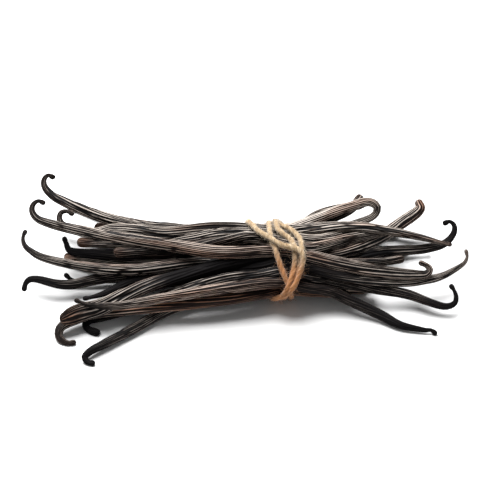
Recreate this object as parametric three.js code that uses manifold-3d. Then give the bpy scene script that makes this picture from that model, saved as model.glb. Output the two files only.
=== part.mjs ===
// A bundle of cured vanilla pods lying on a table, tied a little right of the middle with jute twine.
// Every pod runs the length of the bundle and passes through the tie; the ends fan out and curl into hooks.
// Millimetres, +Z up, the bundle along X, its hooked left ends at -X.
import * as THREE from "three";
import { mergeVertices } from "three/addons/utils/BufferGeometryUtils.js";
import Module from "manifold-3d";

// ---- driving sizes ----
const TIE_X = 19; // where the twine holds the pods
const TIE_Y = 6.35; // the middle of the bundle there
const FACE_ZERO = new THREE.Vector3(2.5, 26.15, 0); // the zero of the positions on the sloping face
const SLOPE = Math.PI / 4; // the bundle's front face leans back at this angle
const STEP = 3; // spacing of the points along a pod while they are settled
const SQUEEZE = 0.92; // how far two pods press into each other
const ROUNDS = 160; // settling rounds
const CLEARANCE = 4; // height of the bundle's underside at the tie, which leaves room for the twine
const CLEAR_SPAN = 15; // how far along the bundle that clearance reaches
const FLAT = 0.8; // thickness of a pod over its width
const WIDE = 1.1; // width of a pod over that of a round one
const GATHER = 0.955; // how far the twine draws the pods together
const TIE_MIDDLE = [0, 13.5]; // the point they are drawn towards
const SHOWN = 17; // the pods that show; the rest lie inside and underneath
const SIDES = 7; // facets round a pod that shows
const SIDES_INSIDE = 5;
const SAG = 0.8; // height of a pod's middle above the table over its radius, where it lies on it
const TURN_PER_RING = 0.365; // radians of bend between two rings of facets
const RING_SPACING = 17; // the longest stretch between two rings
const TIP = 1.25; // radius of a curled tip
const TWINE_R = 1.4; // radius of the twine
const SINK = 0.4; // how far it sinks into the pods
const TWINE_SIDES = 7;
const TWINE_STEP = 3.8; // spacing of the rings along the twine
const GAP = 0.27; // between the twine and the groove it sinks into

// Directions of the sloping face: across it, up it and out of it.
const ACROSS = new THREE.Vector3(1, 0, 0);
const UP = new THREE.Vector3(0, Math.sin(SLOPE), Math.cos(SLOPE));
const OUT = new THREE.Vector3(0, -Math.cos(SLOPE), Math.sin(SLOPE));

// ---- the pods ----
// half(end, points, arcs): the run from the tie to one end. A point is [across, up the sloping face, height
// above the table]; arcs carry it on from the last point as [length, turn in degrees], turning in the face.
// Ends: "curl" a thin neck with a small round tip, "hook" a longer thin neck, "crook" one that thickens sooner,
// "stub" a thick one, "stem" a full-width one, "blunt" a rounded end, "slim" a narrower one, "paddle" a wide
// flattened end, "loop" a pod folded back on itself.
const half = (end, points, arcs = []) => ({ end, points, arcs });
// pod(width, [y, z] of its place in the tie, left half, right half)
const pod = (width, slot, left, right) => ({ width, slot, left, right });

const PODS = [
  // over the top and back edge
  pod(6.2, [16.4, 18.5],
    half("curl", [[-25, 9.6, 20.5], [-51, 10.9, 22], [-72, 15.7, 23], [-85, 20.5, 24], [-96, 25.5, 25]],
      [[8, -25], [6, -60], [5.5, -120]]),
    half("loop", [[29, 13.9, 20], [45, 20.2, 21], [57, 24, 21]],
      [[6, -50], [5, -90], [5, -35], [16, -8]])),
  pod(6, [-5, 24.3],
    half("curl", [[-15, -1.3, 24.5], [-37.5, 2, 24.5], [-56.5, 4.7, 24.5], [-76.5, 8, 25], [-97, 12.4, 25.5],
      [-104, 14.5, 26]], [[6.3, -45], [3.7, -48], [4.6, -63], [2.4, -62]]),
    half("crook", [[29, -3, 23.5], [42.5, -6.3, 22], [58, -9.5, 19], [75, -11.8, 15], [86, -12.5, 13]],
      [[4.1, 55], [3.6, 110], [3.4, -10]])),
  pod(5.6, [12, 22.3],
    half("curl", [[-16.5, 10.8, 21.5], [-42.5, 8.3, 21.5], [-57.5, 10.3, 21], [-69, 10.5, 20],
      [-77.5, 8.7, 19.5], [-92, 11.8, 20]], [[4.6, -58], [2.5, -28], [3.4, -74], [4.2, -47]]),
    half("curl", [[30, 10.6, 22], [50, 11.6, 22], [70.5, 9.4, 21], [98, 3.2, 18]], [[2, 0]])),
  pod(5.8, [1, 24.2],
    half("crook", [[1, 6.5, 23.5], [-11.5, 4.8, 22], [-35, 0.5, 18.5], [-60, -2.5, 16], [-83, -1.7, 14],
      [-89, -0.8, 13]], [[3, -60], [5, 0]]),
    half("blunt", [[29, 0.5, 23.5], [50, 5.7, 19.5], [67, 9.2, 16]])),
  pod(5.8, [6.5, 23.8],
    half("blunt", [[-14, 8.1, 22], [-29.5, 5, 20], [-42.5, 3.2, 18.5], [-55, 4, 18], [-76.5, 3.7, 17],
      [-84.5, 3.8, 17]]),
    half("blunt", [[26.5, 5, 23], [35, 5, 22], [52.5, 9.5, 17], [61, 11, 15]])),
  pod(5.8, [-10.5, 21.3],
    half("curl", [[6, -8.5, 18.5], [-29.5, -11, 13], [-57.5, -14.7, 10.5], [-65, -18, 9], [-73, -21.8, 7.5],
      [-80, -23.8, 7]], [[2.5, -10]]),
    half("curl", [[29, -8, 20.5], [42.5, -12, 18], [58, -14.8, 14], [80, -15.7, 11], [91, -14.3, 11]],
      [[8.5, 20], [7.8, 5], [4.3, 38], [3.7, 45]])),
  // across the front
  pod(5.6, [-7, 15.5],
    half("curl", [[-25, -7.3, 16], [-62.5, -10.1, 15.5], [-87, -7.5, 14.5], [-105, -3.2, 14],
      [-110.8, 0.3, 14]], [[6.2, -52], [4.2, -38]]),
    half("slim", [[32.5, -6.9, 16], [50, -6.4, 15], [65, -6, 13], [74, -4.8, 13]], [[1.5, 10]])),
  pod(5.6, [3.5, 18],
    half("blunt", [[-27.5, -3.5, 16.5], [-60, -5.3, 14], [-82.5, -3.5, 12.5], [-91, -3.5, 12]]),
    half("hook", [[30, -1, 17], [37.5, -3, 15], [50, -3.5, 13.5], [65.5, -0.8, 13], [86, 0.3, 14],
      [93.5, 1.7, 14.5]], [[7.7, 36], [5.1, 28], [3.8, 60], [2.7, 40], [2, 70]])),
  pod(5.2, [-12.5, 10.3],
    half("curl", [[-65, -14.5, 5], [-86, -15.7, 3.3]], [[4, -40], [3, -10]]),
    half("blunt", [[32.5, -12.5, 9], [59, -15.5, 5]])),
  pod(5.4, [-13, 15.2],
    half("crook", [[-2.5, -10, 14.5], [-50, -11.5, 12], [-74.5, -14.3, 9.5], [-89.5, -17.3, 8],
      [-97, -16.9, 8.5], [-103, -15.3, 9]], [[5.3, 12], [4.4, 62], [3.3, 30]]),
    half("blunt", [[32.5, -12.5, 14], [61, -18.5, 8]])),
  pod(6.2, [-2, 18.5],
    half("paddle", [[-10, -7, 16], [-30, -12, 14], [-50, -17.5, 13.5], [-60, -21.5, 12], [-74.5, -28.5, 8.5],
      [-84, -31, 6.5], [-92, -34.3, 6]]),
    half("stem", [[29, -2.8, 18.5], [45.5, -1, 17.5], [65.5, 6.8, 14.5], [75.5, 13.5, 14],
      [82.5, 18.2, 14.5]], [[4.8, 25], [2.7, 100]])),
  pod(5.8, [-20, 15.8],
    half("hook", [[-9, -18.6, 17], [-42.5, -23.8, 14], [-66.5, -27.9, 12], [-80, -27.5, 10.5],
      [-86.5, -25.3, 10]]),
    half("curl", [[29, -19, 12.5], [40, -20.7, 10], [51, -25.8, 6.5], [65, -32.2, 3.6], [75, -37.4, 2.2],
      [85, -39.6, 1.5]],
      [[4.5, 10], [1.6, 10], [2.2, -110]])),
  pod(6, [-20, 10.8],
    half("crook", [[6, -21.5, 11.5], [-24.5, -25.8, 10.5], [-57.5, -29.3, 7], [-79, -32, 4], [-89, -35.8, 3.5]],
      [[4.3, 10], [4.9, 48], [4.8, 46], [5.1, 46], [2.3, 55]]),
    half("blunt", [[29, -20.5, 9.5], [42, -21.5, 6], [48, -22.5, 5]])),
  pod(5.8, [-16.2, 19.3],
    half("stub", [[6, -12.8, 18.5], [-14, -15, 17.5], [-37, -21.5, 12], [-50, -26, 8], [-62.5, -29.5, 6],
      [-79, -34.5, 3.5]], [[4.4, 60], [3.9, 60], [5, 20]]),
    half("hook", [[29, -14, 15.5], [58, -18.3, 10.5], [80, -22.5, 7], [86, -24.7, 6.5]],
      [[9.8, 5], [5.4, 35], [4.3, 68], [3.3, 25], [3.7, 18]])),
  pod(5.6, [-16, 6.8],
    half("crook", [[-12.5, -22, 6], [-39.5, -29.5, 3.4], [-57.5, -39, 2.2], [-76.5, -49, 1.6]],
      [[6.5, 15], [4.2, 100], [3.4, 30]]),
    half("blunt", [[32.5, -19, 7], [57.5, -16, 4]])),
  // down the back
  pod(5.6, [17.8, 9.6],
    half("curl", [[-45, 11, 6], [-70, 15.8, 2.6], [-86, 20.5, 1.6]], [[4, 0]]),
    half("curl", [[35, 10.5, 7], [57.5, 10.5, 3], [87.5, 5.8, 1.5]], [[3, 0]])),
  pod(5.8, [19.4, 14.4],
    half("curl", [[-45, 9, 12], [-75, 7.5, 8], [-94, 11.5, 8]], [[4, 0]]),
    half("blunt", [[29, 12, 14], [44, 17.5, 12.5], [51.5, 21.5, 12], [55, 25.8, 12]])),
  // inside
  pod(5.6, [8.5, 18.3],
    half("blunt", [[-25, 3, 18], [-45, 0.5, 19.5], [-66, -1.3, 19]]),
    half("blunt", [[29, 6, 17], [47.5, 9, 13], [67.5, 9.8, 9]])),
  pod(5.6, [13.5, 17.3],
    half("blunt", [[-50, 11.5, 15], [-66, 11, 14], [-76, 11, 14]]),
    half("blunt", [[35, 17.5, 14], [56, 23, 12]])),
  pod(5.6, [-3, 11.6],
    half("blunt", [[-45, -4, 8.5], [-71.5, -4, 6], [-87, -3, 5]]),
    half("curl", [[35, -4, 9], [47.5, -7.5, 6], [82.5, -12.5, 4]])),
  pod(5.6, [3.5, 12.2],
    half("curl", [[-42.5, 3, 8], [-70, 6.8, 6], [-90, 10.5, 5]], [[3, 0]]),
    half("curl", [[35, -2, 8], [58, -1.5, 5], [87.5, 0.5, 4]], [[2, 0]])),
  pod(5.6, [9.8, 12],
    half("blunt", [[-40, 7.5, 8], [-60, 8, 6], [-75, 8, 4]]),
    half("blunt", [[35, 5, 8], [47.5, 7, 6], [63, 6.5, 4]])),
  // underneath, on the table
  pod(5.4, [-11, 5.9],
    half("blunt", [[-20, -20, 3.6], [-50, -26.5, 2.3], [-72.5, -29.5, 2]]),
    half("blunt", [[35, -19, 4.3], [56, -19.5, 2.3]])),
  pod(5.4, [-6, 6.4],
    half("blunt", [[-50, -17, 2.3], [-70, -25, 2]]),
    half("blunt", [[35, -16.5, 4.3], [71, -19.5, 2]])),
  pod(5.4, [-1, 6.4],
    half("blunt", [[-50, -13, 2.3], [-69, -20.5, 2]]),
    half("blunt", [[35, -11, 4.3], [72.5, -15.5, 2]])),
  pod(5.4, [4, 6.6],
    half("curl", [[-45, -9, 2.8], [-70, -10, 2.2], [-95, -6, 1.4]], [[2, 0]]),
    half("curl", [[35, -7, 4.3], [85, -12.3, 1.5]], [[1, 0]])),
  pod(5.4, [9, 6.7],
    half("blunt", [[-35, 1.5, 3.2], [-60, 5, 2.3], [-85, 9.5, 2]]),
    half("blunt", [[35, -3, 4.3], [77.5, -0.3, 2]])),
  pod(5.4, [14, 7.4],
    half("blunt", [[-42.5, 9, 2.6], [-67.5, 10.5, 2]]),
    half("blunt", [[35, 11, 4], [72.5, 9, 2]])),
];

// The place of a point given across and up the sloping face and by its height.
function place([across, up, height]) {
  return new THREE.Vector3(across + FACE_ZERO.x, up / Math.sin(SLOPE) + FACE_ZERO.y - height, height);
}

// The points of the arcs that follow a start and a heading; the run flattens into the face as it goes.
function hook(start, heading, arcs) {
  const points = [];
  let angle = Math.atan2(heading.dot(UP), heading.dot(ACROSS));
  let rise = heading.dot(OUT);
  let at = start;
  for (const [length, turn] of arcs) {
    const n = Math.max(1, Math.round(length / 0.25));
    for (let k = 0; k < n; k++) {
      angle += THREE.MathUtils.degToRad(turn) / n;
      rise *= 0.97;
      const flat = Math.sqrt(1 - rise * rise);
      at = at.clone();
      at.addScaledVector(ACROSS, (flat * Math.cos(angle) * length) / n);
      at.addScaledVector(UP, (flat * Math.sin(angle) * length) / n);
      at.addScaledVector(OUT, (rise * length) / n);
      points.push(at);
    }
  }
  return points;
}

// A line resampled at even spacing.
function resample(line, spacing) {
  const along = [0];
  for (let i = 1; i < line.length; i++) {
    along.push(along[i - 1] + line[i].distanceTo(line[i - 1]));
  }
  const length = along.at(-1);
  const n = Math.round(length / spacing);
  const out = [];
  let i = 0;
  for (let k = 0; k <= n; k++) {
    const s = (length * k) / n;
    while (i < line.length - 2 && along[i + 1] < s) {
      i += 1;
    }
    out.push(line[i].clone().lerp(line[i + 1], (s - along[i]) / (along[i + 1] - along[i])));
  }
  return { points: out, length };
}

// Radius at a distance from an end of each kind.
function radiusFrom(end, distance, full) {
  const grow = (small, wait, reach) => {
    return small + (full - small) * (1 - Math.exp(-Math.max(distance - wait, 0) / reach));
  };
  if (end === "curl") {
    return grow(TIP, 5, 19);
  }
  if (end === "hook") {
    return grow(1.2, 5, 22);
  }
  if (end === "crook") {
    return grow(1.35, 2, 13);
  }
  if (end === "stub") {
    return grow(1.9, 6, 14);
  }
  if (end === "slim") {
    return grow(1.8, 1, 40);
  }
  if (end === "stem") {
    return grow(1.8, 1, 4);
  }
  if (end === "loop") {
    return grow(1.65, 20, 30) + 0.5 * Math.exp(-((distance / 10) ** 2));
  }
  if (end === "paddle") {
    return full + (3.9 - full) * Math.exp(-Math.max(distance - 10, 0) / 25);
  }
  return grow(2, 1, 20);
}

// Centre line and radii of a pod before it is settled.
function layPod({ width, slot, left, right }) {
  const [y, z] = slot.map((v, i) => TIE_MIDDLE[i] + (v - TIE_MIDDLE[i]) * GATHER);
  const through = new THREE.Vector3(TIE_X, TIE_Y + y, z);
  const via = [...left.points.map(place).reverse(), through, ...right.points.map(place)];
  const body = new THREE.CatmullRomCurve3(via).getPoints(24 * (via.length - 1));
  const start = hook(body[0], body[0].clone().sub(body[6]).normalize(), left.arcs);
  const finish = hook(body.at(-1), body.at(-1).clone().sub(body.at(-7)).normalize(), right.arcs);
  const { points, length } = resample([...start.reverse(), ...body, ...finish], STEP);
  const radii = points.map((_, i) => {
    const s = (length * i) / (points.length - 1);
    const fromLeft = radiusFrom(left.end, s, width / 2);
    const fromRight = radiusFrom(right.end, length - s, width / 2);
    return s < length / 2 ? fromLeft : fromRight;
  });
  return { points, radii, length };
}

// Presses the pods apart where they meet, mostly out of the sloping face, and keeps them above the table.
function settle(lines) {
  const all = [];
  lines.forEach((line, owner) => {
    line.points.forEach((rest, i) => {
      all.push({ owner, rest, r: line.radii[i], moved: new THREE.Vector3(), push: new THREE.Vector3(), met: 0 });
    });
  });
  const pairs = [];
  for (let i = 0; i < all.length; i++) {
    for (let j = i + 1; j < all.length; j++) {
      if (all[i].owner !== all[j].owner && all[i].rest.distanceTo(all[j].rest) < 15) {
        pairs.push([all[i], all[j]]);
      }
    }
  }
  const d = new THREE.Vector3();
  for (let round = 0; round < ROUNDS; round++) {
    for (const point of all) {
      point.push.set(0, 0, 0);
      point.met = 0;
    }
    for (const [a, b] of pairs) {
      d.copy(a.rest).add(a.moved).sub(b.rest).sub(b.moved);
      const distance = Math.max(d.length(), 1e-6);
      const over = (a.r + b.r) * SQUEEZE - distance;
      if (over > 0) {
        a.push.addScaledVector(d, (0.5 * over) / distance);
        b.push.addScaledVector(d, (-0.5 * over) / distance);
        a.met += 1;
        b.met += 1;
      }
    }
    for (const { moved, push, met } of all) {
      if (met > 0) {
        push.multiplyScalar(1 / Math.sqrt(met));
      }
      const out = push.dot(OUT);
      const inFace = push.addScaledVector(OUT, -out);
      moved.addScaledVector(inFace, 0.25).addScaledVector(OUT, out);
      // back towards the line it was laid on, firmly within the face and softly out of it
      const away = moved.dot(OUT);
      moved.addScaledVector(OUT, -away).multiplyScalar(0.93).addScaledVector(OUT, away * 0.995);
    }
    let first = 0;
    for (const line of lines) {
      const run = all.slice(first, first + line.points.length).map((point) => point.moved);
      first += line.points.length;
      for (let pass = 0; pass < 3; pass++) {
        smooth(run);
      }
    }
    for (const { rest, moved, r } of all) {
      const lift = CLEARANCE * Math.exp(-(((rest.x + moved.x - TIE_X) / CLEAR_SPAN) ** 2));
      moved.z += Math.max(SAG * r + lift - rest.z - moved.z, 0);
    }
  }
  let first = 0;
  for (const line of lines) {
    line.points = line.points.map((point, i) => point.clone().add(all[first + i].moved));
    first += line.points.length;
  }
}

// One pass of smoothing over the shifts along a pod, which keeps it from kinking.
function smooth(run) {
  const old = run.map((shift) => shift.clone());
  const last = run.length - 1;
  for (let i = 1; i < last; i++) {
    run[i].copy(old[i - 1]).add(old[i + 1]).multiplyScalar(0.25).addScaledVector(old[i], 0.5);
  }
  run[0].copy(run[1]).add(old[0]).multiplyScalar(0.5);
  run[last].copy(run[last - 1]).add(old[last]).multiplyScalar(0.5);
}

// Thins a line to the rings that matter: more where it bends, fewer where it runs straight.
function rings({ points, radii }) {
  const fine = new THREE.CatmullRomCurve3(points).getPoints(4 * (points.length - 1));
  const kept = [];
  let turned = 0;
  let run = 0;
  for (let i = 0; i < fine.length; i++) {
    const at = i / 4;
    const k = Math.min(Math.floor(at), radii.length - 2);
    const radius = THREE.MathUtils.lerp(radii[k], radii[k + 1], at - k);
    if (i > 0 && i < fine.length - 1) {
      const before = fine[i].clone().sub(fine[i - 1]);
      const after = fine[i + 1].clone().sub(fine[i]);
      turned += before.angleTo(after);
      run += before.length();
      if (turned < TURN_PER_RING && run < RING_SPACING) {
        continue;
      }
    }
    if (i === fine.length - 1 && run < 1) {
      kept.pop();
    }
    kept.push({ point: fine[i], radius });
    turned = 0;
    run = 0;
  }
  return kept;
}

// A closed faceted tube through the rings, oval in section, rounded at both ends unless it is a closed loop.
function tube(stops, sides, flat, roll, wide = 1, closed = false) {
  const points = stops.map((stop) => stop.point);
  const radii = stops.map((stop) => stop.radius);
  const n = points.length;
  const tangents = points.map((_, i) => {
    const next = closed ? points[(i + 1) % n] : points[Math.min(i + 1, n - 1)];
    const before = closed ? points[(i + n - 1) % n] : points[Math.max(i - 1, 0)];
    return next.clone().sub(before).normalize();
  });
  const vertices = [];
  const addRing = (centre, tangent, radius, turn) => {
    const side = OUT.clone().cross(tangent).normalize();
    const over = tangent.clone().cross(side);
    for (let k = 0; k < sides; k++) {
      const a = (2 * Math.PI * k) / sides;
      const across = Math.cos(a) * radius * wide;
      const thick = Math.sin(a) * radius * wide * flat;
      const x = across * Math.cos(turn) - thick * Math.sin(turn);
      const y = across * Math.sin(turn) + thick * Math.cos(turn);
      vertices.push(centre.clone().addScaledVector(side, x).addScaledVector(over, y));
    }
  };
  const turnAt = (i) => roll[0] + (roll[1] * i) / (n - 1);
  if (!closed) {
    addRing(points[0].clone().addScaledVector(tangents[0], -0.6 * radii[0]), tangents[0], 0.7 * radii[0], turnAt(0));
  }
  points.forEach((point, i) => addRing(point, tangents[i], radii[i], turnAt(i)));
  if (!closed) {
    const end = points[n - 1].clone().addScaledVector(tangents[n - 1], 0.6 * radii[n - 1]);
    addRing(end, tangents[n - 1], 0.7 * radii[n - 1], turnAt(n - 1));
  }
  const count = vertices.length / sides;
  const index = [];
  for (let i = 0; i < (closed ? count : count - 1); i++) {
    for (let k = 0; k < sides; k++) {
      const a = i * sides + k;
      const b = i * sides + ((k + 1) % sides);
      const c = ((i + 1) % count) * sides + k;
      const d = ((i + 1) % count) * sides + ((k + 1) % sides);
      index.push(a, b, d, a, d, c);
    }
  }
  if (!closed) {
    const first = vertices.length;
    vertices.push(points[0].clone().addScaledVector(tangents[0], -0.95 * radii[0]));
    vertices.push(points[n - 1].clone().addScaledVector(tangents[n - 1], 0.95 * radii[n - 1]));
    for (let k = 0; k < sides; k++) {
      index.push(first, (k + 1) % sides, k);
      index.push(first + 1, (count - 1) * sides + k, (count - 1) * sides + ((k + 1) % sides));
    }
  }
  const geometry = new THREE.BufferGeometry();
  geometry.setAttribute("position", new THREE.Float32BufferAttribute(vertices.flatMap((v) => v.toArray()), 3));
  geometry.setIndex(index);
  return geometry;
}

const wasm = await Module();
wasm.setup();

// A three.js geometry as a manifold solid.
function solid(geometry) {
  const plain = new THREE.BufferGeometry();
  plain.setAttribute("position", geometry.getAttribute("position"));
  plain.setIndex(geometry.getIndex());
  const merged = mergeVertices(plain, 1e-4);
  const vertProperties = new Float32Array(merged.getAttribute("position").array);
  const triVerts = new Uint32Array(merged.getIndex().array);
  return new wasm.Manifold(new wasm.Mesh({ numProp: 3, vertProperties, triVerts }));
}

// A manifold solid as a flat-shaded three.js mesh.
function mesh(name, shape, material) {
  const { vertProperties, triVerts } = shape.getMesh();
  const geometry = new THREE.BufferGeometry();
  geometry.setAttribute("position", new THREE.BufferAttribute(new Float32Array(vertProperties), 3));
  geometry.setIndex(new THREE.BufferAttribute(new Uint32Array(triVerts), 1));
  const out = new THREE.Mesh(geometry, material);
  out.name = name;
  return out;
}

// ---- the pods, settled and fused over a core ----
const lines = PODS.map(layPod);
settle(lines);

// Where each pod crosses a section of the bundle near the tie.
function sectionAt(x) {
  return lines.map(({ points, radii }) => {
    let i = 1;
    while (i < points.length - 2 && points[i].x < x) {
      i += 1;
    }
    const t = (x - points[i - 1].x) / (points[i].x - points[i - 1].x);
    const at = points[i - 1].clone().lerp(points[i], t);
    return { y: at.y, z: at.z, r: radii[i] };
  });
}

// The core: an oval bar through the middle of the bundle, thinner than the pods round it.
function core() {
  const stops = [];
  for (let x = -34; x <= 50; x += 12) {
    const section = sectionAt(x);
    const ys = section.map((s) => s.y);
    const zs = section.map((s) => s.z);
    const y = ys.reduce((a, b) => a + b) / ys.length;
    const z = zs.reduce((a, b) => a + b) / zs.length;
    const spread = Math.hypot(...ys.map((v) => v - y)) / Math.sqrt(ys.length);
    const taper = 1 - ((x - 8) / 60) ** 2;
    stops.push({ point: new THREE.Vector3(x, y, z), radius: 1.1 * spread * taper });
  }
  return tube(stops, 8, 0.5, [-SLOPE - 0.1, 0]);
}

const fused = lines.map((line, i) => {
  // each pod's oval section lies nearly flat in the face, at its own angle, and turns a little along it
  const roll = [0.5 * Math.sin(i * 2.4), ((i % 5) - 2) * 0.3];
  const sides = i < SHOWN ? SIDES : SIDES_INSIDE;
  return solid(tube(rings(line), sides, FLAT, roll, WIDE));
});
let bundle = wasm.Manifold.union([solid(core()), ...fused]);
bundle = bundle.trimByPlane([0, 0, 1], 0);

// ---- the twine ----
// A point on the line the twine takes round the pods at one section, its outward angle measured from +Y
// towards +Z, standing off the pods by the given distance.
function roundPods(x, angle, off) {
  const section = sectionAt(x);
  const reach = (a) => Math.max(...section.map((s) => s.y * Math.cos(a) + s.z * Math.sin(a) + s.r));
  const h = reach(angle) + off;
  const slope = (reach(angle + 0.01) - reach(angle - 0.01)) / 0.02;
  const y = h * Math.cos(angle) - slope * Math.sin(angle);
  const z = h * Math.sin(angle) + slope * Math.cos(angle);
  return new THREE.Vector3(x, y, z);
}

// A point of a wrap on the front: a share of the way down from the top edge, and its place across.
function onFront(share, across, off) {
  const x = across + FACE_ZERO.x;
  const line = [];
  for (let degrees = 45; degrees <= 225; degrees += 4) {
    line.push(roundPods(x, THREE.MathUtils.degToRad(degrees), off));
  }
  const heights = line.map((point) => point.dot(UP));
  const target = THREE.MathUtils.lerp(heights[0], heights.at(-1), share);
  let i = 1;
  while (i < line.length - 1 && heights[i] > target) {
    i += 1;
  }
  const t = (heights[i - 1] - target) / Math.max(heights[i - 1] - heights[i], 1e-6);
  return line[i - 1].clone().lerp(line[i], THREE.MathUtils.clamp(t, 0, 1));
}

// A value read from [share, value, ...] rows at a share between them.
function read(rows, share, column) {
  let i = 1;
  while (i < rows.length - 1 && rows[i][0] < share) {
    i += 1;
  }
  const t = THREE.MathUtils.clamp((share - rows[i - 1][0]) / (rows[i][0] - rows[i - 1][0]), 0, 1);
  return THREE.MathUtils.lerp(rows[i - 1][column], rows[i][column], t);
}

// The four wraps down the front as [share of the way down, across, how many strands it lies over].
// Each goes on round the underside and the back to the start of the next.
const WRAPS = [
  [[0, -1, 0], [0.12, 4, 0.2], [0.21, 8.3, 1], [0.34, 16.6, 1], [0.4, 24.9, 1], [0.47, 27, 1.1],
    [0.55, 26.6, 1.1], [0.67, 25.3, 1], [0.86, 20.8, 1.3], [0.95, 16.5, 0.8], [1, 11, 0]],
  [[0, 9.5, 0], [0.21, 10.4, 0], [0.34, 12.5, 0], [0.6, 15.4, 0], [0.8, 18.3, 0], [0.91, 20, 0],
    [1, 20.5, 0]],
  [[0, 13, 0.2], [0.15, 14.5, 0.3], [0.19, 18.7, 0], [0.3, 21.6, 0], [0.42, 22.8, 0], [0.65, 22, 0],
    [0.78, 19.9, 0.8], [0.93, 17, 0.9], [1, 14.5, 0]],
  [[0, 12.5, 0], [0.06, 16.6, 0], [0.12, 20.8, 0], [0.21, 23.9, 0], [0.32, 25.9, 0], [0.45, 26, 0],
    [0.67, 24.6, 0], [0.86, 19, 0.4], [1, 17, 0]],
];

function twinePath() {
  const path = [];
  WRAPS.forEach((rows, k) => {
    const next = WRAPS[(k + 1) % WRAPS.length];
    const off = (over) => TWINE_R - SINK + over * 1.7 * TWINE_R;
    for (let share = 0; share <= 1.001; share += 0.03) {
      path.push(onFront(share, read(rows, share, 1), off(read(rows, share, 2))));
    }
    const from = rows.at(-1);
    const to = next[0];
    const crosses = k === WRAPS.length - 1 ? 1 : 0; // the last run lies over the others at the back
    for (let degrees = 232; degrees < 402; degrees += 6) {
      const t = THREE.MathUtils.smoothstep(degrees, 225, 405);
      const across = THREE.MathUtils.lerp(from[1], to[1], t);
      const over = THREE.MathUtils.lerp(from[2], to[2], t) + crosses * Math.sin(Math.PI * t);
      path.push(roundPods(across + FACE_ZERO.x, THREE.MathUtils.degToRad(degrees), off(over)));
    }
  });
  return path;
}

// Evens out the spacing of a closed path and rounds its corners a little.
function ease(path, spacing) {
  const { points } = resample([...path, path[0]], spacing);
  points.pop();
  return points.map((point, i) => {
    const before = points[(i + points.length - 1) % points.length];
    const after = points[(i + 1) % points.length];
    return point.clone().multiplyScalar(0.6).addScaledVector(before, 0.2).addScaledVector(after, 0.2);
  });
}

const strand = ease(twinePath(), TWINE_STEP);
const twineOf = (radius) => {
  return solid(tube(strand.map((point) => ({ point, radius })), TWINE_SIDES, 1, [0, 0], 1, true));
};

// The knot at the back: a lump over the strands and two short ends that hang from it.
const knotAt = roundPods(TIE_X - 4, THREE.MathUtils.degToRad(-25), 2 * TWINE_R);
const lump = new THREE.SphereGeometry(1, 9, 6).scale(3.4, 2.3, 2.8).translate(...knotAt.toArray());
const tails = [-1, 1].map((way) => {
  const via = [[0, 0, 0], [5 * way, 2.2, -1.5], [9 * way, 3.2, -6]];
  const points = via.map((v) => knotAt.clone().add(new THREE.Vector3(...v)));
  const line = new THREE.CatmullRomCurve3(points).getPoints(5);
  return solid(tube(line.map((point) => ({ point, radius: 0.85 * TWINE_R })), 6, 1, [0, 0]));
});
const twine = wasm.Manifold.union([twineOf(TWINE_R), solid(lump), ...tails]).trimByPlane([0, 0, 1], 0);
bundle = bundle.subtract(twineOf(TWINE_R + GAP));
// the outer skin of the largest piece, without any pocket closed off between the pods
bundle = bundle.decompose().sort((a, b) => b.volume() - a.volume())[0];

const podSkin = new THREE.MeshStandardMaterial({ color: 0x2a211e, roughness: 0.5, metalness: 0 });
const jute = new THREE.MeshStandardMaterial({ color: 0xc9a06c, roughness: 0.95, metalness: 0 });
const group = new THREE.Group();
group.name = "bundle_of_vanilla_pods";
group.add(mesh("pods", bundle, podSkin));
group.add(mesh("twine", twine, jute));

export default group;
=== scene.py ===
"""A bundle of cured vanilla pods lying on a table, tied a little right of the middle with jute twine.

Shapes are worked out in millimetres and become metres when a mesh is made. The bundle lies along X, +Z is up,
and its fanned front faces -Y and leans back.
"""

import math

import bpy
import numpy as np
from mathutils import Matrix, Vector


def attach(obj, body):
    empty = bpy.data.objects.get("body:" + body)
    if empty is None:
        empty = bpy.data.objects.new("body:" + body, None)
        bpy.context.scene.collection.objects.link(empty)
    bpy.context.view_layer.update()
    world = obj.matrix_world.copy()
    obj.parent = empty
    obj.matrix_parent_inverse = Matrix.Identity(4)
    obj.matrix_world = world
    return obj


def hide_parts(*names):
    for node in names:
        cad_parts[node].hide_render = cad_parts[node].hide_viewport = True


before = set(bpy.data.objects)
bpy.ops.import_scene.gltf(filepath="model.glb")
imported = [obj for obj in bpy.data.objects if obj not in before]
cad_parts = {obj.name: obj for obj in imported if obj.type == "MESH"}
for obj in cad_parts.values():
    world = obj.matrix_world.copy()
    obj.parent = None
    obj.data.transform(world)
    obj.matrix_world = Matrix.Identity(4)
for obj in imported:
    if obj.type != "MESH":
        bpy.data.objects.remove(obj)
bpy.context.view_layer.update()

MM = 0.001
TAU = 2 * math.pi

# ---- driving sizes of the bundle, in millimetres ----
TIE_X = 19  # where the twine holds the pods
TIE_Y = 6.35  # the middle of the bundle there
FACE_ZERO = np.array([2.5, 26.15, 0])  # the zero of the positions on the sloping face
SLOPE = math.pi / 4  # the bundle's front face leans back at this angle
STEP = 3  # spacing of the points along a pod while they are settled
SQUEEZE = 0.92  # share of their two radii by which the settling aims to keep pods apart
ROUNDS = 160  # settling rounds
PUSH_SHARES = np.array([0.25, 0.25, 1])  # shares of a push taken across, up and out of the face
KEEP_SHARES = np.array([0.93, 0.93, 0.995])  # and of a shift kept from round to round
SMOOTHINGS = 3  # smoothing passes in each round
REACH = 15  # points of pods further apart than this aren't compared
CLEARANCE = 4  # height of the underside at the tie, which leaves room for the twine
CLEAR_SPAN = 15  # how far along the bundle that clearance reaches
SAG = 0.8  # height of a lying pod's middle over its radius
FLAT = 0.8  # thickness of a pod over its width
WIDE = 1.1  # width of a pod over that of a round one
GATHER = 0.955  # share of its distance from the middle that a pod keeps in the tie
TIE_MIDDLE = np.array([0, 13.5])  # that middle, as the [y, z] of a place in the tie
BOXY = 0.86  # power that makes a pod's oval a little squarer
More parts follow.
